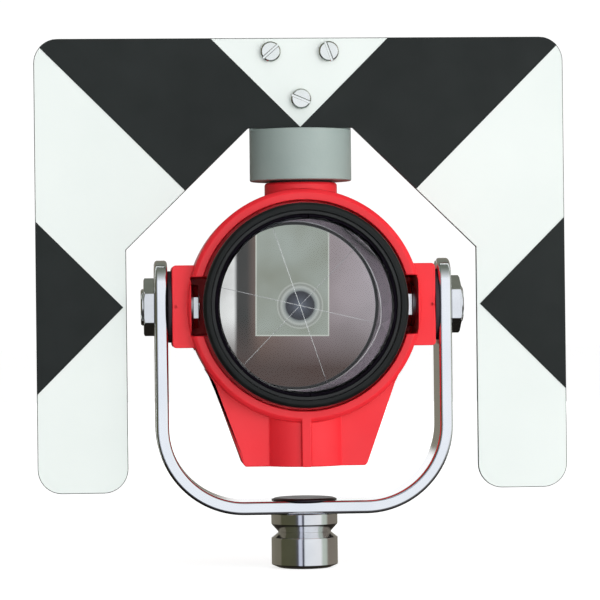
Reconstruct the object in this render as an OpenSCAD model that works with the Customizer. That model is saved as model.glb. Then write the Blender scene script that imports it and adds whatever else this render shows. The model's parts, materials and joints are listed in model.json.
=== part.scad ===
// Single tilting survey prism with a sighting target, carried in a U-shaped yoke.
// Origin: centre of the pole socket's bottom face. +Z up the pole, -Y is the way the prism looks.

/* [Yoke] */
// Clear width between the yoke's arms
yoke_inner_w = 94.2; // [93.8:0.2:97]
// Thickness of the yoke's strip
strip_t = 4.6; // [3:0.1:5]
// Depth of the strip, front to back
strip_w = 20; // [18:0.5:22]
// Inside radius of the yoke's two bends
bend_r = 26; // [20:1:28]
// Height of the strip's underside, which is the socket's height
strip_z = 19; // [17:0.1:20]
// Height of the arm's rounded top above the tilt axis
arm_rise = 16.3; // [14:0.1:18]

/* [Pole socket] */
// Outside diameter of the pole socket
socket_d = 23.2; // [22:0.1:26]
// Diameter of the bore that stands for the 5/8 inch thread
thread_d = 15.9; // [15.5:0.1:16]
// Depth of the threaded bore
thread_depth = 16.4; // [12:0.1:17]

/* [Tilt] */
// Height of the tilt axis
axis_z = 91.5; // [88:0.5:95]
// Half width of the holder over its two lugs
lug_x = 45.7; // [45.2:0.1:46]
// Half height of a lug
lug_h = 14.3; // [13:0.1:15]
// Half depth of a lug
lug_y = 12; // [11:0.5:13]
// Shoulder diameter of a tilt bolt
bolt_d = 10; // [9:0.5:10.5]

/* [Holder] */
// Outside radius of the holder's ring
ring_r = 40.3; // [39:0.1:41]
// Front of the ring's rim, in front of the tilt axis
rim_y = 17.5; // [16:0.5:19]
// Back of the ring, behind the tilt axis
ring_back = 15; // [12:0.5:18]
// Radius of the upright boss in the skirt
boss_r = 16; // [14:0.5:17]
// Height of the skirt's lower edge
skirt_z = 35.8; // [34:0.1:38]
// Diameter of the neck under the target
neck_d = 25.4; // [24:0.1:27]
// Height of the neck's top
neck_z = 134.4; // [133:0.1:136]

/* [Prism] */
// Outside radius of the front bumper
bumper_r = 35.3; // [34.6:0.1:35.6]
// Front of the canister, in front of the tilt axis
front_y = 24; // [23:0.5:26]
// Outside radius of the canister's thread
thread_r = 33.3; // [33.2:0.1:33.4]
// Radius of the corner-cube glass
glass_r = 30.6; // [30:0.1:30.7]
// Depth of the glass from its front face to its apex
glass_depth = 45.4; // [45:0.1:46]

/* [Target] */
// Half width of the plate
plate_x = 92.8; // [90:0.2:95]
// Height of the plate's lower edge
plate_bottom = 26.8; // [25:0.2:30]
// Height of the plate's upper edge
plate_top = 185.2; // [182:0.2:188]
// Half width of the notch between the legs
notch_x = 61.3; // [60.5:0.1:64]
// Thickness of the plate
plate_t = 1.6; // [1.5:0.1:2]
// Corner radius of the plate
plate_r = 8.5; // [6:0.5:10]
// Offset of the dark pattern's diagonals from the plate's centre
pattern_a = 62.5; // [61.5:0.5:64]
// Diameter of the collar that carries the plate
collar_d = 35.6; // [34:0.1:37]

/* [Hidden] */
$fn = 96;

// Clearances: a turning fit, and a thread or press fit between pieces that stay together
pin_gap = 0.05;
fit_gap = 0.03;
// Yoke, worked out from the sizes above
arm_in = yoke_inner_w / 2;
arm_out = arm_in + strip_t;
strip_top = strip_z + strip_t;
arm_top = axis_z + arm_rise;
arm_hole_r = bolt_d / 2 + pin_gap;
// Socket: a V-shaped grip groove, and the hub that is pressed and riveted into the strip
chamfer_z = 1.1;
chamfer_r = 2.5;
groove_low = 10.6;
groove_mid = 12.5;
groove_high = 15.2;
groove_r = 9.15;
hub_r = 8;
nut_t = 0.8;
nut_rim = 0.3;
// Tilt pivot, from the holder's pocket outwards
pocket_x = 39.2;
pocket_in_x = 25;
pocket_h = 10.15;
pocket_back = 9;
bolt_thread_r = 4;
nut_af = 13;
nut_h = 2;
nut_turn = 4;
spring_t = 0.9;
washer_r = 12.5;
moving_gap = 0.1;
washer_t = arm_in - lug_x - moving_gap;
head_af = 17.6;
head_h = 3.6;
head_chamfer = 0.35;
head_turn = 3;
crown_r = 6.4;
crown_h = 1;
crown_bevel = 0.4;
// Holder
rim_bevel = 1.3;
rim_bore_r = 36.4;
rim_bore_depth = 4.4;
skirt_front = 10;
skirt_back = 11;
skirt_wall = 3;
washer_h = 0.5;
neck_bevel = 0.6;
rib_w = 3.3;
lug_round = 1.4;
dimple_r = 0.6;
dimple_inset = 1.25;
dimple_depth = 1.4;
spigot_r = 6;
spigot_low = 127;
spigot_top = 151.6;
spigot_neck_r = 5;
spigot_groove_z = 141.5;
spigot_groove_h = 4;
core_r = 8;
core_depth = 14;
// Canister and what it holds, measured along the way the prism looks
flange_r = 34.4;
spigot_front_r = 32.6;
flange_front = 19;
seal_t = 1.2;
holder_face = rim_y - rim_bore_depth;
flange_back = holder_face + seal_t;
thread_back = 4;
body_r = 32.7;
body_back = 6;
cone_back = 31;
cone_back_r = 17;
canister_back = 35;
glass_front = 19.6;
glass_seat_r = glass_r + 0.15;
ring_thread_r = 31.3;
retainer_bore_r = 29.6;
gasket_t = 0.8;
seat_front = 16;
seat_back = 27.3;
cap_front = 29;
cap_r = 13;
apex_y = glass_depth - glass_front;
star_turn = -13;
// Target
collar_shoulder = 152.8;
collar_z = neck_z + washer_h + moving_gap;
plate_y = 1.6;
tongue_top = 184.8;
screw_x = 10.2;
screw_high = 180.3;
screw_low = 163.8;
screw_head_r = 3.6;
screw_head_h = 1.9;
screw_r = 2;
insert_r = 3;
set_screw_r = 2;
insert_depth = 8;
film_t = 0.15;
pattern_reach = 150;
slope_top_x = 18.25;
slope_top_z = 153.6;
shoulder_z = 111.5;
film_margin = 0.15;
screws = [[-screw_x, screw_high, 41], [screw_x, screw_high, -70], [0.3, screw_low, -23]];

// Turns a profile drawn as [radius, distance along the prism's axis] about that axis, +Y onwards
module about_prism_axis() {
  translate([0, 0, axis_z]) rotate([-90, 0, 0]) rotate_extrude() children();
}

// A round bar along X between two distances from the centre
module bar_x(x0, x1, r) {
  translate([x0, 0, axis_z]) rotate([0, 90, 0]) cylinder(r = r, h = x1 - x0);
}

// ---- Yoke -------------------------------------------------------------

// Outline of the bent strip, seen from the front
module yoke_outline(x, z, r) {
  difference() {
    union() {
      translate([-x, z + r]) square([2 * x, arm_top - z - r]);
      translate([-x + r, z]) square([2 * (x - r), r + 1]);
      for (s = [-1, 1]) translate([s * (x - r), z + r]) circle(r = r);
    }
    children();
  }
}

// Arms seen from the side: straight, with fully rounded tops
module arm_side_form() {
  top_r = strip_w / 2;
  translate([-top_r, strip_z - 1]) square([strip_w, arm_top - top_r - strip_z + 1]);
  translate([0, arm_top - top_r]) circle(r = top_r);
}

module yoke_fork() {
  color([0.86, 0.87, 0.9]) difference() {
    intersection() {
      translate([0, strip_w / 2, 0]) rotate([90, 0, 0]) linear_extrude(strip_w)
        yoke_outline(arm_out, strip_z, bend_r + strip_t)
          union() {
            translate([-arm_in, strip_top + bend_r]) square([2 * arm_in, arm_top]);
            translate([-arm_in + bend_r, strip_top]) square([2 * (arm_in - bend_r), bend_r + 1]);
            for (s = [-1, 1]) translate([s * (arm_in - bend_r), strip_top + bend_r]) circle(r = bend_r);
          }
      translate([-arm_out - 1, 0, 0]) rotate([90, 0, 90]) linear_extrude(2 * arm_out + 2)
        arm_side_form();
    }
    bar_x(-arm_out - 1, arm_out + 1, arm_hole_r);
    translate([0, 0, strip_z - 1]) cylinder(r = hub_r + fit_gap, h = strip_t + 2);
  }
}

// Socket that screws on a survey pole, with a V groove for the fingers
module pole_socket() {
  r = socket_d / 2;
  color([0.82, 0.83, 0.86]) difference() {
    rotate_extrude() polygon([
      [0, 0], [r - chamfer_r, 0], [r, chamfer_z], [r, groove_low], [groove_r, groove_mid],
      [r, groove_high], [r, strip_z], [hub_r, strip_z], [hub_r, strip_top], [0, strip_top]
    ]);
    translate([0, 0, -1]) cylinder(d = thread_d, h = thread_depth + 1);
  }
}

// Low cap pressed over the hub's riveted end, inside the yoke
module socket_nut() {
  color([0.3, 0.3, 0.32]) translate([0, 0, strip_top])
    rotate_extrude() polygon([[0, 0], [11.4, 0], [11.4, nut_rim], [10.2, nut_t], [0, nut_t]]);
}

// ---- Holder -----------------------------------------------------------

// Skirt outline, seen from the front
module skirt_outline() {
  polygon([
    [-37.6, 76.8], [-31.5, 64.5], [-21.6, skirt_z + 0.9], [-20.8, skirt_z],
    [20.8, skirt_z], [21.6, skirt_z + 0.9], [31.5, 64.5], [37.6, 76.8],
    [30, axis_z], [-30, axis_z]
  ]);
}

// Both lugs as one bar across the holder, with rounded corners as seen from the front
module lug_bar() {
  translate([0, lug_y, axis_z]) rotate([90, 0, 0]) linear_extrude(2 * lug_y) {
    square([2 * lug_x, 2 * (lug_h - lug_round)], center = true);
    square([2 * (lug_x - lug_round), 2 * lug_h], center = true);
    for (x = [-1, 1], z = [-1, 1])
      translate([x * (lug_x - lug_round), z * (lug_h - lug_round)]) circle(r = lug_round);
  }
}

// Ring with bevelled rims
module holder_ring() {
  about_prism_axis() polygon([
    [thread_r - 1, -rim_y], [ring_r - rim_bevel, -rim_y], [ring_r, -rim_y + rim_bevel],
    [ring_r, ring_back - rim_bevel], [ring_r - rim_bevel, ring_back], [thread_r - 1, ring_back]
  ]);
}

// Outside form of the skirt: two wings, the upright boss and its rib
module skirt_form() {
  translate([0, skirt_back, 0]) rotate([90, 0, 0])
    linear_extrude(skirt_front + skirt_back) skirt_outline();
  translate([0, 0, skirt_z]) cylinder(r = boss_r, h = axis_z - skirt_z);
  translate([-rib_w / 2, -rim_y, skirt_z]) cube([rib_w, rim_y, axis_z - skirt_z]);
}

// Pockets that open at the back, either side of the boss, so that the walls stay even
module skirt_pockets() {
  difference() {
    translate([0, skirt_back + 1, 0]) rotate([90, 0, 0])
      linear_extrude(skirt_front + skirt_back + 1 - skirt_wall)
        polygon([
          [-27.2, 64], [-19.1, skirt_z + skirt_wall + 2], [19.1, skirt_z + skirt_wall + 2], [27.2, 64]
        ]);
    translate([0, 0, skirt_z]) cylinder(r = boss_r + 0.5, h = axis_z - skirt_z);
    ring_drum();
  }
}

// Solid drum the size of the ring, which keeps the pockets off it
module ring_drum() {
  translate([0, -rim_y, axis_z]) rotate([-90, 0, 0]) cylinder(r = ring_r + 0.5, h = rim_y + skirt_back + 5);
}

module prism_holder() {
  bore_r = thread_r + pin_gap;
  color([0.9, 0.2, 0.22]) difference() {
    union() {
      holder_ring();
      skirt_form();
      lug_bar();
      translate([0, 0, axis_z]) cylinder(d = neck_d, h = neck_z - axis_z - neck_bevel);
      translate([0, 0, neck_z - neck_bevel])
        cylinder(d1 = neck_d, d2 = neck_d - 2 * neck_bevel, h = neck_bevel);
    }
    translate([0, -rim_y - 10, axis_z]) rotate([-90, 0, 0]) cylinder(r = bore_r, h = 50);
    translate([0, -rim_y - 1, axis_z]) rotate([-90, 0, 0]) cylinder(r = rim_bore_r, h = rim_bore_depth + 1);
    skirt_pockets();
    for (s = [-1, 1]) {
      translate([s > 0 ? pocket_in_x : -pocket_x, -rim_y - 1, axis_z - pocket_h])
        cube([pocket_x - pocket_in_x, rim_y + 1 + pocket_back, 2 * pocket_h]);
      translate([s * (lug_x - dimple_inset), -lug_y, axis_z]) rotate([90, 0, 0])
        cylinder(r = dimple_r, h = 2 * dimple_depth, center = true);
    }
    bar_x(-lug_x - 1, lug_x + 1, bolt_d / 2 + fit_gap);
    translate([0, 0, spigot_low]) cylinder(r = spigot_neck_r + fit_gap, h = 10);
    translate([0, 0, skirt_z - 1]) cylinder(r = core_r, h = core_depth + 1);
  }
}

// Steel pin that the target turns on, with a groove for the set screw
module target_spigot() {
  color([0.75, 0.76, 0.78]) difference() {
    union() {
      translate([0, 0, spigot_low]) cylinder(r = spigot_neck_r, h = neck_z - spigot_low);
      translate([0, 0, neck_z]) cylinder(r = spigot_r, h = spigot_top - neck_z - 1);
      translate([0, 0, spigot_top - 1]) cylinder(r1 = spigot_r, r2 = spigot_r - 1, h = 1);
    }
    translate([0, 0, spigot_groove_z]) difference() {
      cylinder(r = spigot_r + 1, h = spigot_groove_h);
      translate([0, 0, -1]) cylinder(r = spigot_neck_r, h = spigot_groove_h + 2);
    }
  }
}

// Thin nylon washer that the collar turns on
module swivel_washer() {
  color([0.16, 0.15, 0.15]) translate([0, 0, neck_z]) difference() {
    cylinder(d = neck_d - 3.4, h = washer_h);
    translate([0, 0, -1]) cylinder(r = spigot_r + fit_gap, h = 3);
  }
}

// ---- Tilt pivot -------------------------------------------------------

// Bolt on the +X side: hexagon head outside the arm, shoulder through arm and lug, thread in the nut
module tilt_bolt(turn) {
  head_x = arm_out + moving_gap;
  tip_x = pocket_x - spring_t - nut_h - 0.4;
  flat_r = head_af / 2 + 0.6;
  color([0.8, 0.81, 0.83]) translate([0, 0, axis_z]) rotate([0, 90, 0]) {
    intersection() {
      translate([0, 0, head_x]) rotate([0, 0, turn]) cylinder(d = head_af / cos(30), h = head_h, $fn = 6);
      translate([0, 0, head_x]) rotate_extrude() polygon([
        [0, -1], [20, -1], [20, head_h - head_chamfer - 6], [flat_r + 2 * head_chamfer, head_h - head_chamfer],
        [flat_r, head_h], [0, head_h]
      ]);
    }
    translate([0, 0, head_x + head_h]) rotate_extrude() polygon([
      [0, 0], [crown_r, 0], [crown_r, crown_h - crown_bevel], [crown_r - crown_bevel, crown_h], [0, crown_h]
    ]);
    translate([0, 0, pocket_x]) cylinder(d = bolt_d, h = head_x - pocket_x);
    translate([0, 0, tip_x]) cylinder(r = bolt_thread_r, h = pocket_x - tip_x);
  }
}

module tilt_bolt_left() { mirror([1, 0, 0]) tilt_bolt(head_turn); }
module tilt_bolt_right() { tilt_bolt(0); }

// Disc of friction material between lug and arm
module friction_washer(side) {
  color([0.2, 0.19, 0.22]) difference() {
    mirror([side < 0 ? 1 : 0, 0, 0]) bar_x(lug_x, lug_x + washer_t, washer_r);
    bar_x(-lug_x - 5, lug_x + 5, bolt_d / 2 + fit_gap);
  }
}

module friction_washer_left() { friction_washer(-1); }
module friction_washer_right() { friction_washer(1); }

// Washer in the holder's pocket, between the lug's wall and the nut
module spring_washer(side) {
  color([0.55, 0.55, 0.57]) difference() {
    mirror([side < 0 ? 1 : 0, 0, 0]) bar_x(pocket_x - spring_t, pocket_x, 7.6);
    bar_x(-lug_x, lug_x, bolt_thread_r + fit_gap);
  }
}

module spring_washer_left() { spring_washer(-1); }
module spring_washer_right() { spring_washer(1); }

// Thin hexagon nut held in the pocket
module tilt_nut(side) {
  color([0.85, 0.85, 0.87]) difference() {
    mirror([side < 0 ? 1 : 0, 0, 0]) translate([pocket_x - spring_t - nut_h, 0, axis_z]) rotate([0, 90, 0])
      rotate([0, 0, side < 0 ? nut_turn : 0]) cylinder(d = nut_af / cos(30), h = nut_h, $fn = 6);
    bar_x(-lug_x, lug_x, bolt_thread_r + fit_gap);
  }
}

module tilt_nut_left() { tilt_nut(-1); }
module tilt_nut_right() { tilt_nut(1); }

// ---- Prism unit -------------------------------------------------------

// Soft ring under the canister's flange, stretched over its thread
module canister_seal() {
  inner_r = thread_r + 0.15;
  color([0.35, 0.24, 0.2]) about_prism_axis()
    translate([inner_r, -flange_back + fit_gap]) square([flange_r - inner_r, seal_t - 2 * fit_gap]);
}

// Cup that holds the glass: front spigot, flange, thread, and a back that closes in round the apex
module prism_canister() {
  color([0.1, 0.11, 0.11]) about_prism_axis() difference() {
    polygon([
      [0, -front_y + 0.6], [spigot_front_r, -front_y + 0.6], [spigot_front_r, -flange_front],
      [flange_r, -flange_front], [flange_r, -flange_back], [thread_r - 0.6, -flange_back],
      [thread_r - 0.6, -holder_face + 0.4], [thread_r, -holder_face + 1], [thread_r, -thread_back],
      [body_r, -thread_back + 0.6], [body_r, body_back], [cone_back_r, cone_back],
      [cone_back_r, canister_back], [0, canister_back]
    ]);
    polygon([
      [-1, -front_y - 1], [ring_thread_r, -front_y - 1], [ring_thread_r, -glass_front],
      [glass_seat_r, -glass_front], [glass_seat_r, body_back - 1], [cap_r + 1, seat_back + 0.3],
      [cap_r + fit_gap, cap_front - 0.5], [cap_r + fit_gap, canister_back + 1], [-1, canister_back + 1]
    ]);
  }
}

// Rubber band round the canister's front
module bumper_ring() {
  round_r = 1.5;
  color([0.14, 0.16, 0.15]) about_prism_axis() difference() {
    union() {
      translate([spigot_front_r, -front_y + round_r]) square([bumper_r - spigot_front_r, front_y - round_r - flange_front]);
      translate([spigot_front_r, -front_y]) square([bumper_r - spigot_front_r - round_r, round_r]);
      translate([bumper_r - round_r, -front_y + round_r]) circle(r = round_r);
    }
    translate([0, -front_y - 1]) square([spigot_front_r + fit_gap, 30]);
  }
}

// Slotted ring that screws in from the front and clamps the glass
module retaining_ring() {
  lip_round = 0.7;
  color([0.08, 0.08, 0.09]) difference() {
    about_prism_axis() polygon([
      [retainer_bore_r, -glass_front - gasket_t], [retainer_bore_r, -glass_front - 1.5],
      [retainer_bore_r + lip_round, -front_y + 1.2], [ring_thread_r - fit_gap, -front_y + 1.2],
      [ring_thread_r - fit_gap, -glass_front - gasket_t]
    ]);
    for (s = [-1, 1]) translate([-1.1, -front_y, axis_z + s * 30.6 - 1.3]) cube([2.2, 2, 2.6]);
  }
}

// Flat ring between the retaining ring and the glass
module front_gasket() {
  color([0.3, 0.28, 0.3]) about_prism_axis()
    translate([retainer_bore_r, -glass_front - gasket_t]) square([ring_thread_r - 0.3 - retainer_bore_r, gasket_t]);
}

// Corner cut off a cube, seen down its diagonal: the three faces that send light back
module cube_corner(apex) {
  size = 90;
  translate([0, apex, axis_z]) rotate([90, 0, 0]) rotate([0, 0, star_turn])
    rotate([0, -atan(sqrt(2)), 0]) rotate([0, 0, -45]) cube(size);
}

module glass_prism() {
  color([0.75, 0.78, 0.8]) intersection() {
    translate([0, -glass_front, axis_z]) rotate([-90, 0, 0]) cylinder(r = glass_r, h = glass_depth);
    cube_corner(apex_y);
  }
}

// Moulded seat behind the glass, with a three-sided hollow for its faces
module rear_seat() {
  color([0.2, 0.2, 0.2]) difference() {
    about_prism_axis() polygon([[0, seat_front], [22.2, seat_front], [13.4, seat_back], [0, seat_back]]);
    cube_corner(apex_y + 0.1);
  }
}

// Plug that closes the back of the canister
module rear_cap() {
  color([0.12, 0.12, 0.13]) about_prism_axis()
    polygon([
      [0, cap_front], [cap_r, cap_front], [cap_r, canister_back], [cap_r + 2, canister_back],
      [cap_r + 1.2, canister_back + 1.6], [0, canister_back + 1.6]
    ]);
}

// ---- Target -----------------------------------------------------------

// Plate outline, seen from the front, with its notch for the yoke
module plate_outline() {
  r = plate_r;
  difference() {
    union() {
      translate([-plate_x, plate_bottom + r]) square([2 * plate_x, plate_top - plate_bottom - 2 * r]);
      translate([-plate_x + r, plate_bottom]) square([2 * (plate_x - r), plate_top - plate_bottom]);
      for (x = [-plate_x + r, plate_x - r], z = [plate_bottom + r, plate_top - r]) translate([x, z]) circle(r = r);
    }
    polygon([
      [-notch_x, plate_bottom - 1], [-notch_x, shoulder_z], [-slope_top_x, slope_top_z],
      [slope_top_x, slope_top_z], [notch_x, shoulder_z], [notch_x, plate_bottom - 1]
    ]);
    for (s = [-1, 1]) translate([s * notch_x, plate_bottom]) difference() {
      translate([s > 0 ? -1 : -r, -1]) square([r + 1, r + 1]);
      translate([s * r, r]) circle(r = r);
    }
  }
}

// Lays an outline, drawn as seen from the front, in a slab from y to y + t
module upright_slab(y, t) {
  translate([0, y + t, 0]) rotate([90, 0, 0]) linear_extrude(t) children();
}

module target_plate() {
  color([0.92, 0.95, 0.93]) difference() {
    upright_slab(-plate_y, plate_t) plate_outline();
    for (s = screws) translate([s[0], 0, s[1]]) rotate([90, 0, 0]) cylinder(r = screw_r + 0.2, h = 10, center = true);
  }
}

// The plate's outline, brought in so that the dark film stops just short of its edge
module film_limit() {
  k = film_margin;
  intersection() {
    translate([-plate_x + k, plate_bottom + k])
      square([2 * (plate_x - k), plate_top - plate_bottom - 2 * k]);
    difference() {
      plate_outline();
      polygon([
        [-notch_x - k, plate_bottom - 1], [-notch_x - k, shoulder_z + k], [-slope_top_x, slope_top_z + k],
        [slope_top_x, slope_top_z + k], [notch_x + k, shoulder_z + k], [notch_x + k, plate_bottom - 1]
      ]);
    }
  }
}

// Two dark bands that lean outwards to the upper corners
module black_bands() {
  color([0.17, 0.2, 0.19]) upright_slab(-plate_y - film_t, film_t) intersection() {
    film_limit();
    translate([0, axis_z]) for (s = [-1, 1]) polygon([
      [0, 0], [s * pattern_reach, pattern_reach], [s * pattern_reach, pattern_reach + pattern_a], [0, pattern_a]
    ]);
  }
}

// A dark triangle on either side, its point on the notch
module black_side_panels() {
  color([0.17, 0.2, 0.19]) upright_slab(-plate_y - film_t, film_t) intersection() {
    film_limit();
    translate([0, axis_z]) for (s = [-1, 1])
      polygon([
        [s * pattern_a, 0], [s * (pattern_a + pattern_reach), pattern_reach],
        [s * (pattern_a + pattern_reach), -pattern_reach]
      ]);
  }
}

// Grey collar on the spigot: round below, and a half-round tongue behind the plate above
module target_collar() {
  color([0.58, 0.64, 0.63]) difference() {
    union() {
      translate([0, 0, collar_z]) cylinder(d = collar_d, h = collar_shoulder - collar_z);
      intersection() {
        translate([0, 0, collar_shoulder - 1]) cylinder(d = collar_d, h = tongue_top - collar_shoulder + 1);
        translate([-50, plate_t - plate_y, 0]) cube([100, 50, 300]);
      }
    }
    translate([0, 0, neck_z - 1]) cylinder(r = spigot_r + pin_gap, h = spigot_top + 0.8 - neck_z + 1);
    translate([0, 0, spigot_groove_z + spigot_groove_h / 2]) rotate([-90, 0, 0])
      cylinder(r = set_screw_r + fit_gap, h = 30);
    for (s = screws) translate([s[0], -5, s[1]]) rotate([-90, 0, 0])
      cylinder(r = insert_r + fit_gap, h = 5 + insert_depth + 0.2);
  }
}

// Three slotted screws through the plate
module target_screws() {
  color([0.85, 0.85, 0.83]) for (s = screws) translate([s[0], -plate_y, s[1]]) difference() {
    rotate([90, 0, 0]) {
      cylinder(r = screw_head_r, h = screw_head_h - 0.5);
      translate([0, 0, screw_head_h - 0.5]) cylinder(r1 = screw_head_r, r2 = screw_head_r - 0.5, h = 0.5);
      translate([0, 0, -plate_t - insert_depth + 0.5]) cylinder(r = screw_r, h = plate_t + insert_depth);
    }
    translate([0, -screw_head_h, 0]) rotate([0, -s[2], 0]) cube([9, 1.6, 0.9], center = true);
  }
}

// Brass inserts in the collar's tongue, one for each screw
module screw_inserts() {
  color([0.75, 0.6, 0.3]) for (s = screws) translate([s[0], plate_t - plate_y, s[1]]) rotate([-90, 0, 0])
    difference() {
      cylinder(r = insert_r, h = insert_depth);
      translate([0, 0, -1]) cylinder(r = screw_r + fit_gap, h = insert_depth + 2);
    }
}

// Set screw that holds the collar where it was turned
module collar_set_screw() {
  color([0.25, 0.25, 0.27]) translate([0, 0, spigot_groove_z + spigot_groove_h / 2]) rotate([-90, 0, 0])
    difference() {
      translate([0, 0, spigot_neck_r + 0.1]) cylinder(r = set_screw_r, h = 11.6);
      translate([0, 0, spigot_neck_r + 9]) cylinder(d = 2.4, h = 5, $fn = 6);
    }
}

yoke_fork();
pole_socket();
socket_nut();
prism_holder();
target_spigot();
swivel_washer();
tilt_bolt_left();
tilt_bolt_right();
friction_washer_left();
friction_washer_right();
spring_washer_left();
spring_washer_right();
tilt_nut_left();
tilt_nut_right();
canister_seal();
prism_canister();
bumper_ring();
retaining_ring();
front_gasket();
glass_prism();
rear_seat();
rear_cap();
target_plate();
black_bands();
black_side_panels();
target_collar();
target_screws();
screw_inserts();
collar_set_screw();
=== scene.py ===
"""Looks of the survey prism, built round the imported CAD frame. Metres, +Z up, the prism looks along -Y."""
import json
import math

import bmesh
import bpy
from mathutils import Euler, Matrix, Vector

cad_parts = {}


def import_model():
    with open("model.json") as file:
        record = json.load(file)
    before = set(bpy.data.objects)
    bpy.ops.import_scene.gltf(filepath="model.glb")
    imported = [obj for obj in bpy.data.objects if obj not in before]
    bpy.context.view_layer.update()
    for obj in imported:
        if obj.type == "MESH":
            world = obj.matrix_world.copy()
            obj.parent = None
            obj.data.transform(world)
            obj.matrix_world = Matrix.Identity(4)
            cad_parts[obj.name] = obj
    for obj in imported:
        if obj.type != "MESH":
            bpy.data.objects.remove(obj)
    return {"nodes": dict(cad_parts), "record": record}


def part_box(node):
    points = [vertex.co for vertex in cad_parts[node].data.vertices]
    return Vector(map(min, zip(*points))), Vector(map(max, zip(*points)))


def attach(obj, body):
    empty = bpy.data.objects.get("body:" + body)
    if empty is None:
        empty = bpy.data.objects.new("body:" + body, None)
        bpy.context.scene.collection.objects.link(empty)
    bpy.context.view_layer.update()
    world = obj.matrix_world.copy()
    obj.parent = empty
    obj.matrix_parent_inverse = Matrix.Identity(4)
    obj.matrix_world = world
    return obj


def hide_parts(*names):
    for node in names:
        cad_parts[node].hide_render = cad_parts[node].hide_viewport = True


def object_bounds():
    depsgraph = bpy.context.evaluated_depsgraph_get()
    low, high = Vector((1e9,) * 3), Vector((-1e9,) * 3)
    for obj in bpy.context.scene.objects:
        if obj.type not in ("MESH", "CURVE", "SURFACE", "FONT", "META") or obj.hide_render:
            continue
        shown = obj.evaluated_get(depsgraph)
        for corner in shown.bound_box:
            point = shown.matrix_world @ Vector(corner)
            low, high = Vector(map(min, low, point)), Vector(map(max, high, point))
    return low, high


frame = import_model()
cad_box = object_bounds()
MM = 0.001
BODY_OF = {n: b for b, ns in frame["record"]["behaviour"]["bodies"].items() for n in ns}
SLOT_OF = {s["node"]: s["material_slot"] for s in frame["record"]["subparts"]}

# ---- Sizes read from the frame ------------------------------------------------------------------

ring_lo, ring_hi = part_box("bumper_ring")
AXIS_Z = (ring_lo.z + ring_hi.z) / 2
DIMPLE_INSET = 1.25 * MM
DIMPLE_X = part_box("prism_holder")[1].x - DIMPLE_INSET


# ---- Materials ----------------------------------------------------------------------------------

def srgb(red, green, blue):
    """A colour given in 0-255 display values, as the linear colour that a shader takes."""
    def linear(v):
        v /= 255
        return v / 12.92 if v <= 0.04045 else ((v + 0.055) / 1.055) ** 2.4
    return (linear(red), linear(green), linear(blue), 1)


def grey(value):
    return (value, value, value, 1)


class Finish:
    """A Principled material, with short calls for the nodes that vary it over the surface."""

    def __init__(self, name, **constants):
        self.material = bpy.data.materials.new(name)
        self.material.use_nodes = True
        self.tree = self.material.node_tree
        self.shader = self.tree.nodes["Principled BSDF"]
        self.place = self.node("ShaderNodeTexCoord").outputs["Object"]
        for socket, value in constants.items():
            self.shader.inputs[socket.replace("_", " ")].default_value = value

    def node(self, kind, **settings):
        made = self.tree.nodes.new(kind)
        for key, value in settings.items():
            setattr(made, key, value)
        return made

    def link(self, source, target):
        self.tree.links.new(source, target)

    def stretched(self, scale):
        """Object coordinates, scaled along each axis."""
        mapping = self.node("ShaderNodeMapping", vector_type="TEXTURE")
        mapping.inputs["Scale"].default_value = [1 / s for s in scale]
        self.link(self.place, mapping.inputs["Vector"])
        return mapping.outputs["Vector"]

    def noise(self, scale, detail=3, rough=0.5, vector=None):
        made = self.node("ShaderNodeTexNoise")
        made.inputs["Scale"].default_value = scale
        made.inputs["Detail"].default_value = detail
        made.inputs["Roughness"].default_value = rough
        self.link(vector or self.place, made.inputs["Vector"])
        return made.outputs["Fac"]

    def grain(self, scale):
        """Small rounded cells, as on moulded plastic or rubber."""
        made = self.node("ShaderNodeTexVoronoi", feature="SMOOTH_F1")
        made.inputs["Scale"].default_value = scale
        self.link(self.place, made.inputs["Vector"])
        return made.outputs["Distance"]

    def rings(self, spacing, axis, distortion):
        """Turning marks: bands that follow each other along an axis, spacing metres apart."""
        made = self.node("ShaderNodeTexWave", wave_type="BANDS", bands_direction=axis)
        made.inputs["Scale"].default_value = math.pi / 10 / spacing
        made.inputs["Distortion"].default_value = distortion
        self.link(self.place, made.inputs["Vector"])
        return made.outputs["Fac"]

    def levels(self, fac, low, high, start=0.3, end=0.7):
        """The values from start to end, spread over low to high."""
        made = self.node("ShaderNodeMapRange")
        for socket, value in zip(("From Min", "From Max", "To Min", "To Max"), (start, end, low, high)):
            made.inputs[socket].default_value = value
        self.link(fac, made.inputs["Value"])
        return made.outputs["Result"]

    def colours(self, fac, stops):
        made = self.node("ShaderNodeValToRGB")
        elements = made.color_ramp.elements
        while len(elements) < len(stops):
            elements.new(0.5)
        for element, (position, colour) in zip(elements, stops):
            element.position, element.color = position, colour
        self.link(fac, made.inputs["Fac"])
        return made.outputs["Color"]

    def blended(self, fac, first, second):
        """first where fac is 0, second where it is 1; either is a socket or a colour."""
        made = self.node("ShaderNodeMix", data_type="RGBA")
        self.link(fac, made.inputs[0])
        for value, target in ((first, made.inputs[6]), (second, made.inputs[7])):
            if isinstance(value, tuple):
                target.default_value = value
            else:
                self.link(value, target)
        return made.outputs[2]

    def added(self, first, second):
        made = self.node("ShaderNodeMath", operation="ADD")
        self.link(first, made.inputs[0])
        self.link(second, made.inputs[1])
        return made.outputs["Value"]

    def feed(self, socket, source):
        self.link(source, self.shader.inputs[socket])

    def mottled(self, pattern, dark, light, low=0.3, high=0.7):
        """Base colour from dark to light, as a pattern goes from low to high."""
        self.feed("Base Color", self.colours(pattern, [(low, dark), (high, light)]))

    def relief(self, height, depth):
        """Bump whose full height is depth metres."""
        made = self.node("ShaderNodeBump")
        made.inputs["Strength"].default_value = 1
        made.inputs["Distance"].default_value = depth
        self.link(height, made.inputs["Height"])
        self.feed("Normal", made.outputs["Normal"])


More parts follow.
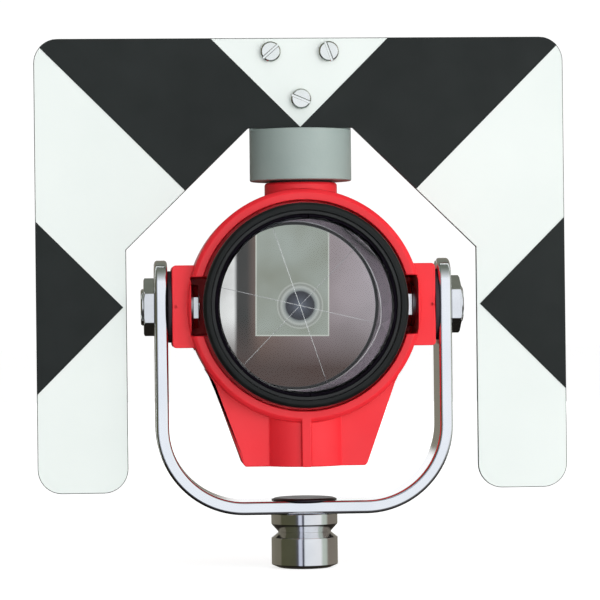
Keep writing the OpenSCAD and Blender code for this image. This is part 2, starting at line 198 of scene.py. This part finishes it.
def polished_chrome():
    """The strip's mirror polish, with faint lines along it and a slight waviness from the bending."""
    f = Finish("polished_chrome", Metallic=1.0)
    haze = f.noise(60, 4)
    lines = f.noise(1, 2, vector=f.stretched((30, 1500, 30)))
    f.mottled(haze, srgb(236, 238, 242), srgb(246, 247, 249))
    f.feed("Roughness", f.added(f.levels(lines, 0.07, 0.11), f.levels(haze, 0, 0.05, 0.5, 0.8)))
    f.relief(f.noise(45, 2), 0.06 * MM)
    return f.material


def turned_chrome(name, axis):
    """Bright plating over turning marks that run round the given axis."""
    f = Finish(name, Metallic=1.0)
    marks = f.rings(0.35 * MM, axis, distortion=0.4)
    haze = f.noise(150, 4)
    f.mottled(haze, srgb(226, 227, 230), srgb(240, 241, 243), high=0.75)
    f.feed("Roughness", f.added(f.levels(marks, 0.05, 0.09, 0, 1), f.levels(haze, 0, 0.06)))
    f.relief(marks, 0.004 * MM)
    return f.material


def turned_metal(name, dark, light, roughness, spacing=0.3 * MM, axis="Z"):
    """Plain turned metal, with tool marks and slight stains."""
    f = Finish(name, Metallic=1.0)
    marks = f.rings(spacing, axis, distortion=0.6)
    stains = f.noise(220, 4)
    f.mottled(stains, dark, light)
    tooled = f.levels(marks, roughness, roughness + 0.06, 0, 1)
    f.feed("Roughness", f.added(tooled, f.levels(stains, 0, 0.08)))
    f.relief(marks, 0.006 * MM)
    return f.material


def red_plastic():
    """Glossy moulded plastic with a fine grain and shallow sink marks."""
    f = Finish("red_plastic", Specular_IOR_Level=0.26, IOR=1.5)
    f.mottled(f.noise(35, 3), srgb(231, 36, 47), srgb(239, 45, 55))
    f.feed("Roughness", f.levels(f.noise(90, 4), 0.36, 0.48))
    sinks = f.levels(f.noise(25, 2), 0, 2)
    f.relief(f.added(f.grain(1500), sinks), 0.02 * MM)
    return f.material


def moulded(name, dark, light, roughness, grain=1800, depth=0.02 * MM, specular=0.5):
    """Satin moulded plastic with a fine grain."""
    f = Finish(name, Specular_IOR_Level=specular)
    f.mottled(f.noise(60, 4), dark, light)
    f.feed("Roughness", f.levels(f.noise(140, 3), roughness - 0.05, roughness + 0.07))
    f.relief(f.grain(grain), depth)
    return f.material


def rubber(name, dark, light, roughness=0.55):
    """Dull rubber with a faint bloom and a fine pitted skin."""
    f = Finish(name, Sheen_Weight=0.06, Sheen_Roughness=0.4, Specular_IOR_Level=0.3)
    bloom = f.noise(120, 5, 0.6)
    f.mottled(bloom, dark, light, 0.35, 0.75)
    f.feed("Roughness", f.levels(bloom, roughness - 0.08, roughness + 0.1))
    f.relief(f.grain(2600), 0.03 * MM)
    return f.material


def enamel():
    """White enamel on sheet metal, with a faint orange peel."""
    f = Finish("white_enamel", Coat_Weight=0.3, Coat_Roughness=0.25)
    f.mottled(f.noise(18, 4), srgb(223, 230, 226), srgb(229, 235, 231))
    f.feed("Roughness", f.levels(f.noise(70, 4), 0.38, 0.48))
    f.relief(f.noise(420, 2), 0.02 * MM)
    return f.material


def black_film():
    """Thin satin film, which follows the enamel under it."""
    f = Finish("black_film", Specular_IOR_Level=0.38)
    f.mottled(f.noise(24, 5), srgb(22, 29, 27), srgb(29, 36, 34))
    f.feed("Roughness", f.levels(f.noise(90, 4), 0.42, 0.56))
    f.relief(f.noise(900, 2), 0.01 * MM)
    return f.material


def optical_glass():
    """Clear glass with a few faint smudges."""
    f = Finish("prism_glass", Transmission_Weight=1.0, IOR=1.52)
    f.mottled(f.noise(40, 2), (0.93, 0.96, 0.955, 1), (0.96, 0.98, 0.975, 1))
    f.feed("Roughness", f.levels(f.noise(160, 2), 0, 0.012, 0.72, 0.85))
    return f.material


FINISHES = {
    "polished_chrome": polished_chrome(),
    "turned_chrome": turned_chrome("turned_chrome", "Z"),
    "bolt_chrome": turned_chrome("bolt_chrome", "X"),
    "dark_steel": turned_metal("dark_steel", srgb(70, 66, 72), srgb(92, 88, 94), 0.3),
    "red_plastic": red_plastic(),
    "steel": turned_metal("steel", srgb(178, 179, 182), srgb(200, 201, 204), 0.25),
    "nylon": moulded("nylon", srgb(42, 38, 38), srgb(54, 50, 50), 0.5),
    "friction_fibre": moulded("friction_fibre", srgb(44, 36, 44), srgb(62, 52, 60), 0.7,
                              grain=2600, depth=0.06 * MM),
    "nut_plating": turned_chrome("nut_plating", "X"),
    "seal_rubber": rubber("seal_rubber", srgb(92, 50, 38), srgb(124, 70, 54)),
    "black_plastic": moulded("black_plastic", srgb(24, 26, 27), srgb(34, 36, 36), 0.42),
    "bumper_rubber": rubber("bumper_rubber", srgb(16, 19, 18), srgb(26, 30, 29), 0.34),
    "black_anodised": turned_metal("black_anodised", srgb(18, 14, 20), srgb(30, 25, 33), 0.32,
                                   spacing=0.2 * MM, axis="Y"),
    "gasket_rubber": rubber("gasket_rubber", srgb(74, 62, 82), srgb(96, 84, 104)),
    "prism_glass": optical_glass(),
    # The glass's side faces: light mauve as a painted reflection, standing in for the purple glint that the
    # prism's black sides show through the glass, not the colour of their paint
    "edge_painted_reflection": moulded("edge_painted_reflection", srgb(228, 202, 224), srgb(248, 228, 244), 0.8,
                          depth=0.0, specular=0.2),
    "seat_rubber": rubber("seat_rubber", srgb(34, 34, 35), srgb(46, 46, 47)),
    "white_enamel": enamel(),
    "sheared_edge": turned_metal("sheared_edge", srgb(88, 92, 90), srgb(118, 122, 120), 0.4, axis="Y"),
    "black_film": black_film(),
    "grey_plastic": moulded("grey_plastic", srgb(146, 160, 156), srgb(156, 169, 164), 0.42),
    "screw_plating": turned_metal("screw_plating", srgb(236, 238, 233), srgb(247, 248, 245), 0.08, axis="Y"),
    "brass": turned_metal("brass", srgb(196, 158, 84), srgb(222, 184, 106), 0.25, axis="Y"),
}


# ---- Pieces -------------------------------------------------------------------------------------

WELD = 1e-6
COPLANAR = 0.2  # degrees between triangles of one flat face
CREASE = 34  # degrees from which a bend looks like an edge
SHARP = 28  # degrees from which an edge is rounded


def shown_mesh(name, bm, finish, crease=CREASE):
    """Makes an object of bm, smooth across gentle bends and crisp across sharp ones."""
    mesh = bpy.data.meshes.new(name)
    bm.to_mesh(mesh)
    bm.free()
    if "custom_normal" in mesh.attributes:
        mesh.attributes.remove(mesh.attributes["custom_normal"])
    for polygon in mesh.polygons:
        polygon.use_smooth = True
        polygon.material_index = 0
    mesh.set_sharp_from_angle(angle=math.radians(crease))
    mesh.materials.clear()
    mesh.materials.append(finish)
    piece = bpy.data.objects.new(name, mesh)
    bpy.context.scene.collection.objects.link(piece)
    return piece


def flat_beside_rounding(mesh, crease):
    """Keeps every face flat up to its edge, so that only the roundings between faces bend the light."""
    soft = [value.value for value in mesh.attributes["soft"].data]
    limit = math.cos(math.radians(crease))
    normals = [polygon.normal.copy() for polygon in mesh.polygons]
    around = [[] for _ in mesh.vertices]
    for polygon in mesh.polygons:
        for v in polygon.vertices:
            around[v].append(polygon.index)

    def shared(v, normal):
        total = Vector()
        for i in around[v]:
            if not soft[i] and normals[i].dot(normal) > limit:
                total += normals[i] * mesh.polygons[i].area
        return total.normalized()

    corners = []
    for polygon in mesh.polygons:
        own = normals[polygon.index]
        for v in polygon.vertices:
            if not soft[polygon.index]:
                corners.append(shared(v, own))
                continue
            plain = [normals[i] for i in around[v] if not soft[i]]
            if plain:
                corners.append(shared(v, max(plain, key=own.dot)))
            else:
                corners.append(sum((normals[i] for i in around[v]), Vector()).normalized())
    mesh.normals_split_custom_set(corners)


def rounded(node, width, segments=3, finish=None, least=SHARP, pick=None, crease=CREASE):
    """Stands for a CAD node: the same solid with its sharp edges rounded to width metres."""
    bm = bmesh.new()
    bm.from_mesh(frame["nodes"][node].data)
    bmesh.ops.remove_doubles(bm, verts=bm.verts, dist=WELD)
    bmesh.ops.dissolve_limit(bm, angle_limit=math.radians(COPLANAR), verts=bm.verts, edges=bm.edges)
    soft = bm.faces.layers.int.new("soft")
    sharp = [e for e in bm.edges if e.is_manifold and e.calc_face_angle(0) > math.radians(least)
             and (pick is None or pick(e))]
    bent = bmesh.ops.bevel(bm, geom=sharp, offset=width, offset_type="OFFSET", segments=segments,
                           profile=0.5, affect="EDGES", clamp_overlap=False)["faces"]
    for face in bent:
        face[soft] = 1
    piece = shown_mesh(node + "_shape", bm, finish or FINISHES[SLOT_OF[node]], crease=crease)
    flat_beside_rounding(piece.data, crease)
    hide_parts(node)
    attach(piece, BODY_OF[node])
    return piece


def pole_thread():
    """The 5/8 inch x 11 thread's ridge inside the socket's bore, which fades out at both ends."""
    pitch, major, minor, low = 25.4 / 11 * MM, 7.93 * MM, 6.75 * MM, 0.4 * MM
    turns, steps, run_out, least_height = 6.6, 72, 18, 0.05
    root, crest = 0.46, 0.08  # half widths of the ridge, in pitches
    bm = bmesh.new()
    sections = []
    for i in range(int(turns * steps) + 1):
        a = 2 * math.pi * i / steps
        z = low + pitch * (0.5 + i / steps)
        fade = min(1, i / run_out, (turns * steps - i) / run_out)
        top = major - (major - minor) * max(least_height, fade)
        points = [(major, -root), (top, -crest), (top, crest), (major, root)]
        sections.append([bm.verts.new((r * math.cos(a), r * math.sin(a), z + k * pitch)) for r, k in points])
    for first, second in zip(sections, sections[1:]):
        for k in range(4):
            bm.faces.new((first[k], first[(k + 1) % 4], second[(k + 1) % 4], second[k]))
    bm.faces.new(sections[0])
    bm.faces.new(reversed(sections[-1]))
    bmesh.ops.recalc_face_normals(bm, faces=bm.faces)
    piece = shown_mesh("pole_thread_ridge", bm, FINISHES["steel"], crease=25)
    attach(piece, "yoke")


def clear_of_dimples(edge):
    """False for the rims of the two small dimples in the holder's lugs, which stay crisp."""
    return not all(math.hypot(abs(v.co.x) - DIMPLE_X, v.co.z - AXIS_Z) < 1 * MM for v in edge.verts)


def finish_edge(piece, name, limit):
    """Gives another finish to the faces that turn towards Y by less than limit, a cosine."""
    piece.data.materials.append(FINISHES[name])
    for polygon in piece.data.polygons:
        if abs(polygon.normal.y) < limit:
            polygon.material_index = 1


rounded("yoke_fork", 1.1 * MM, 5)
rounded("pole_socket", 0.25 * MM)
rounded("socket_nut", 0.3 * MM, least=15)
rounded("prism_holder", 0.4 * MM, pick=clear_of_dimples)
for side in ("left", "right"):
    rounded("tilt_bolt_" + side, 0.15 * MM, 2, FINISHES["bolt_chrome"])
    rounded("tilt_nut_" + side, 0.2 * MM, 2)
    rounded("friction_washer_" + side, 0.25 * MM, 2)
rounded("bumper_ring", 0.3 * MM)
rounded("retaining_ring", 0.15 * MM, 2)
rounded("prism_canister", 0.25 * MM, 2)
rounded("rear_cap", 0.3 * MM)
finish_edge(rounded("target_plate", 0.25 * MM, 2), "sheared_edge", 0.95)
rounded("target_collar", 0.5 * MM, 4)
rounded("target_screws", 0.14 * MM, 2)
# The glass's side faces take the light mauve painted reflection
finish_edge(rounded("glass_prism", 0.12 * MM, 1, crease=3), "edge_painted_reflection", 0.05)
pole_thread()

for node, cad in frame["nodes"].items():
    cad.data.materials.clear()
    cad.data.materials.append(FINISHES[SLOT_OF[node]])

# ---- Floor, light and camera --------------------------------------------------------------------


def stage_mesh(name, bm, finish, seen=True):
    mesh = bpy.data.meshes.new(name)
    bm.to_mesh(mesh)
    bm.free()
    mesh.materials.append(finish)
    made = bpy.data.objects.new(name, mesh)
    bpy.context.scene.collection.objects.link(made)
    made.visible_camera = seen
    return made


def floor():
    """Pale paper that runs into the white behind the object. The room lights the object, not the paper."""
    gap = 0.05 * MM
    f = Finish("floor_paper", Roughness=0.8, Emission_Strength=0.8)
    f.shader.inputs["Emission Color"].default_value = grey(1)
    f.mottled(f.noise(3, 2), grey(0.62), grey(0.65))
    bm = bmesh.new()
    bmesh.ops.create_circle(bm, cap_ends=True, segments=96, radius=6)
    bmesh.ops.translate(bm, verts=bm.verts, vec=(0, 0, cad_box[0].z - gap))
    made = stage_mesh("floor", bm, f.material)
    made.visible_glossy = made.visible_diffuse = False


def world():
    """White behind the object, soft level light on dull surfaces, and a dim room in the reflections."""
    made = bpy.data.worlds.new("studio")
    made.use_nodes = True
    bpy.context.scene.world = made
    tree = made.node_tree

    def node(kind, **settings):
        new = tree.nodes.new(kind)
        for key, value in settings.items():
            setattr(new, key, value)
        return new

    def ramp(fac, stops):
        new = node("ShaderNodeValToRGB")
        while len(new.color_ramp.elements) < len(stops):
            new.color_ramp.elements.new(0.5)
        for element, (position, colour) in zip(new.color_ramp.elements, stops):
            element.position, element.color = position, colour
        tree.links.new(fac, new.inputs["Fac"])
        return new.outputs["Color"]

    def spread(value, low, high):
        new = node("ShaderNodeMapRange")
        new.inputs["From Min"].default_value = low
        new.inputs["From Max"].default_value = high
        tree.links.new(value, new.inputs["Value"])
        return new.outputs["Result"]

    def mix(fac, first, second, blend="MIX"):
        new = node("ShaderNodeMix", data_type="RGBA", blend_type=blend)
        for value, target in ((fac, new.inputs[0]), (first, new.inputs[6]), (second, new.inputs[7])):
            if isinstance(value, (tuple, float)):
                target.default_value = value
            else:
                tree.links.new(value, target)
        return new.outputs[2]

    path = node("ShaderNodeLightPath")
    place = node("ShaderNodeTexCoord")
    split = node("ShaderNodeSeparateXYZ")
    tree.links.new(place.outputs["Generated"], split.inputs["Vector"])
    front = node("ShaderNodeMath", operation="MULTIPLY")
    front.inputs[1].default_value = -1
    tree.links.new(split.outputs["Y"], front.inputs[0])
    azimuth = node("ShaderNodeMath", operation="ARCTAN2")
    tree.links.new(split.outputs["X"], azimuth.inputs[0])
    tree.links.new(front.outputs["Value"], azimuth.inputs[1])
    around = spread(azimuth.outputs["Value"], -math.pi, math.pi)
    height = spread(split.outputs["Z"], -1, 1)
    room = mix(1.0, ramp(height, ROOM_HEIGHT), ramp(around, turned(ROOM_AROUND)), "MULTIPLY")
    room = mix(spread(split.outputs["Z"], *CEILING_FROM), room, CEILING)
    behind = node("ShaderNodeMath", operation="MULTIPLY")
    tree.links.new(spread(split.outputs["Z"], *PAPER_ABOVE), behind.inputs[0])
    tree.links.new(spread(split.outputs["Y"], *PAPER_BEHIND), behind.inputs[1])
    room = mix(behind.outputs["Value"], room, WHITE)
    level = mix(1.0, ramp(height, DULL_HEIGHT), ramp(around, turned(DULL_AROUND)), "MULTIPLY")
    dull = mix(path.outputs["Is Diffuse Ray"], room, level)
    shown = mix(path.outputs["Is Camera Ray"], dull, WHITE)
    tree.links.new(shown, tree.nodes["Background"].inputs["Color"])


WHITE = grey(1.05)
# The room that polished parts mirror, by azimuth: 0 in front of the prism, 90 on its +X side
ROOM_AROUND = [(-180, srgb(130, 126, 114)), (-97, srgb(120, 115, 100)), (-90, srgb(84, 84, 64)),
               (-37, srgb(86, 86, 68)), (-26, srgb(90, 90, 98)), (-23, srgb(214, 220, 238)),
               (-13, srgb(224, 228, 242)), (-11, srgb(78, 80, 90)), (-6, srgb(64, 66, 78)),
               (-3.5, srgb(244, 249, 255)), (54, srgb(252, 253, 255)), (63, srgb(200, 210, 200)),
               (78, srgb(190, 198, 188)), (86, srgb(132, 124, 114)), (180, srgb(130, 126, 114))]
# How much of that is left from straight down (0) to level (0.5) and up (1)
ROOM_HEIGHT = [(0, grey(0.04)), (0.3, (0.13, 0.12, 0.12, 1)), (0.4, grey(0.6)), (0.46, grey(1)), (1, grey(1))]
# Above the first of these heights the ceiling mixes in. A height is the sine of the elevation
CEILING_FROM = (0.5, 0.98)
CEILING = srgb(112, 118, 108)
# The white paper straight behind the object: above these heights, and this much towards +Y
PAPER_ABOVE = (0.03, 0.05)
PAPER_BEHIND = (0.94, 0.98)
# The soft light that dull surfaces get, by azimuth. It comes mostly level, as from windows
DULL_AROUND = [(-180, grey(0.05)), (-95, (0.05, 0.06, 0.05, 1)), (-50, (0.32, 0.33, 0.33, 1)),
               (-5, (1.28, 1.29, 1.3, 1)), (40, grey(1.55)), (75, (1.05, 1.05, 1.04, 1)),
               (110, (0.3, 0.3, 0.29, 1)), (180, grey(0.05))]
DULL_HEIGHT = [(0, grey(0.5)), (0.38, grey(0.54)), (0.43, grey(2.75)),
               (0.57, grey(2.75)), (0.62, grey(0.54)), (1, grey(0.5))]


def turned(stops):
    """Stops given in degrees of azimuth, as positions on a ramp."""
    return [((angle + 180) / 360, colour) for angle, colour in stops]


def softbox(name, azimuth, elevation, distance, width, height, power):
    """An area light that faces the prism. Azimuth 0 is in front of it and 90 on its +X side."""
    light = bpy.data.lights.new(name, "AREA")
    light.shape, light.size, light.size_y, light.energy = "RECTANGLE", width, height, power
    made = bpy.data.objects.new(name, light)
    a, e = math.radians(azimuth), math.radians(elevation)
    away = Vector((math.sin(a) * math.cos(e), -math.cos(a) * math.cos(e), math.sin(e)))
    made.location = Vector((0, 0, AXIS_Z)) + away * distance
    made.rotation_euler = (-away).to_track_quat("-Z", "Y").to_euler()
    made.visible_glossy = False
    bpy.context.scene.collection.objects.link(made)


CAMERA_PLACE = Vector((-65 * MM, -978.9 * MM, AXIS_Z - 2 * MM))
CAMERA_PITCH, CAMERA_YAW, CAMERA_ROLL = (math.radians(angle) for angle in (90.23, -3.76, -0.64))
CAMERA_SENSOR, CAMERA_LENS = 36, 168


def camera():
    """Where the photograph was taken from: about a metre away, a little left of the prism's axis."""
    data = bpy.data.cameras.new("camera")
    data.sensor_width, data.lens = CAMERA_SENSOR, CAMERA_LENS
    data.clip_start, data.clip_end = 0.05, 30
    made = bpy.data.objects.new("camera", data)
    made.location = CAMERA_PLACE
    turn = Euler((CAMERA_PITCH, 0, CAMERA_YAW)).to_matrix()
    roll = Matrix.Rotation(CAMERA_ROLL, 3, "Z")
    made.rotation_euler = (turn @ roll).to_euler()
    bpy.context.scene.collection.objects.link(made)
    bpy.context.scene.camera = made
    bpy.context.view_layer.update()
    return made.matrix_world.copy()


def glowing(name):
    """A finish for cards that are only seen through the prism."""
    f = Finish(name, Roughness=1.0, Emission_Strength=1.0)
    f.shader.inputs["Base Color"].default_value = grey(0)
    f.shader.inputs["Specular IOR Level"].default_value = 0
    return f


def room_cards():
    """What the prism sends back to whoever looks into it: a dim room, and a plain camera."""
    room = glowing("room_card")
    split = room.node("ShaderNodeSeparateXYZ")
    room.link(room.place, split.inputs["Vector"])
    across = room.levels(split.outputs["X"], 0, 1, -70 * MM, 70 * MM)
    shade = room.colours(across, [
        (0.0, srgb(186, 178, 186)), (0.42, srgb(156, 142, 146)), (0.7, srgb(132, 108, 98)),
        (0.77, srgb(40, 42, 40)), (0.82, srgb(30, 34, 32)), (0.838, srgb(252, 252, 252))])
    low = room.levels(split.outputs["Y"], 0, 1, 8 * MM, 45 * MM)
    shade = room.blended(low, shade, srgb(66, 42, 34))
    patches = room.levels(room.noise(24, 3), 0, 0.4)
    room.feed("Emission Color", room.blended(patches, shade, srgb(84, 78, 76)))

    def plain(name, scale, dark, light):
        f = glowing(name)
        f.feed("Emission Color", f.colours(f.noise(scale, 2), [(0.3, dark), (0.7, light)]))
        return f

    body = plain("camera_body", 26, srgb(134, 138, 126), srgb(160, 168, 162))
    rim = plain("camera_rim", 30, srgb(186, 190, 184), srgb(204, 208, 200))
    lens = glowing("camera_lens")
    length = lens.node("ShaderNodeVectorMath", operation="LENGTH")
    lens.link(lens.place, length.inputs[0])
    lens.feed("Emission Color", lens.colours(lens.levels(length.outputs["Value"], 0, 1, 0, LENS_R), [
        (0.0, srgb(96, 102, 116)), (0.35, srgb(62, 66, 76)), (0.6, srgb(38, 40, 48)),
        (0.66, srgb(128, 134, 134)), (0.8, srgb(178, 182, 178)), (0.9, srgb(136, 140, 134)),
        (1.0, srgb(182, 186, 180))]))

    def card(name, finish, centre, half_width, half_height, depth, sides=4):
        """A flat card square to the camera, depth metres behind it."""
        square = sides == 4
        bm = bmesh.new()
        bmesh.ops.create_circle(bm, cap_ends=True, segments=sides, radius=math.sqrt(2) if square else 1,
                                matrix=Matrix.Rotation(math.pi / 4 if square else 0, 4, "Z"))
        bmesh.ops.scale(bm, verts=bm.verts, vec=(half_width, half_height, 1))
        made = stage_mesh(name, bm, finish.material, seen=False)
        made.visible_glossy = made.visible_diffuse = False
        made.matrix_world = CAMERA_FRAME @ Matrix.Translation((*centre, depth))

    card("room_card", room, (0, 0), 70 * MM, 70 * MM, 20 * MM)
    card("camera_rim", rim, BODY_CENTRE, BODY_HALF[0] + RIM_W, BODY_HALF[1] + RIM_W, 14 * MM)
    card("camera_body", body, BODY_CENTRE, *BODY_HALF, 13 * MM)
    card("camera_lens", lens, (0, 0), LENS_R, LENS_R, 12 * MM, sides=48)


# The plain camera that the prism mirrors, measured from the middle of its lens
BODY_CENTRE, BODY_HALF, RIM_W = (5.5 * MM, -27.5 * MM), (25.4 * MM, 48.4 * MM), 0.9 * MM
LENS_R = 16.5 * MM

floor()
world()
softbox("key", 34, 12, 1.5, 1.2, 1.2, 3.4)
softbox("top", 10, 78, 1.4, 1.6, 1.6, 2.5)
softbox("back", 165, 20, 1.6, 1.4, 1.4, 8)
CAMERA_FRAME = camera()
room_cards()
bpy.context.scene.view_settings.view_transform = "Standard"
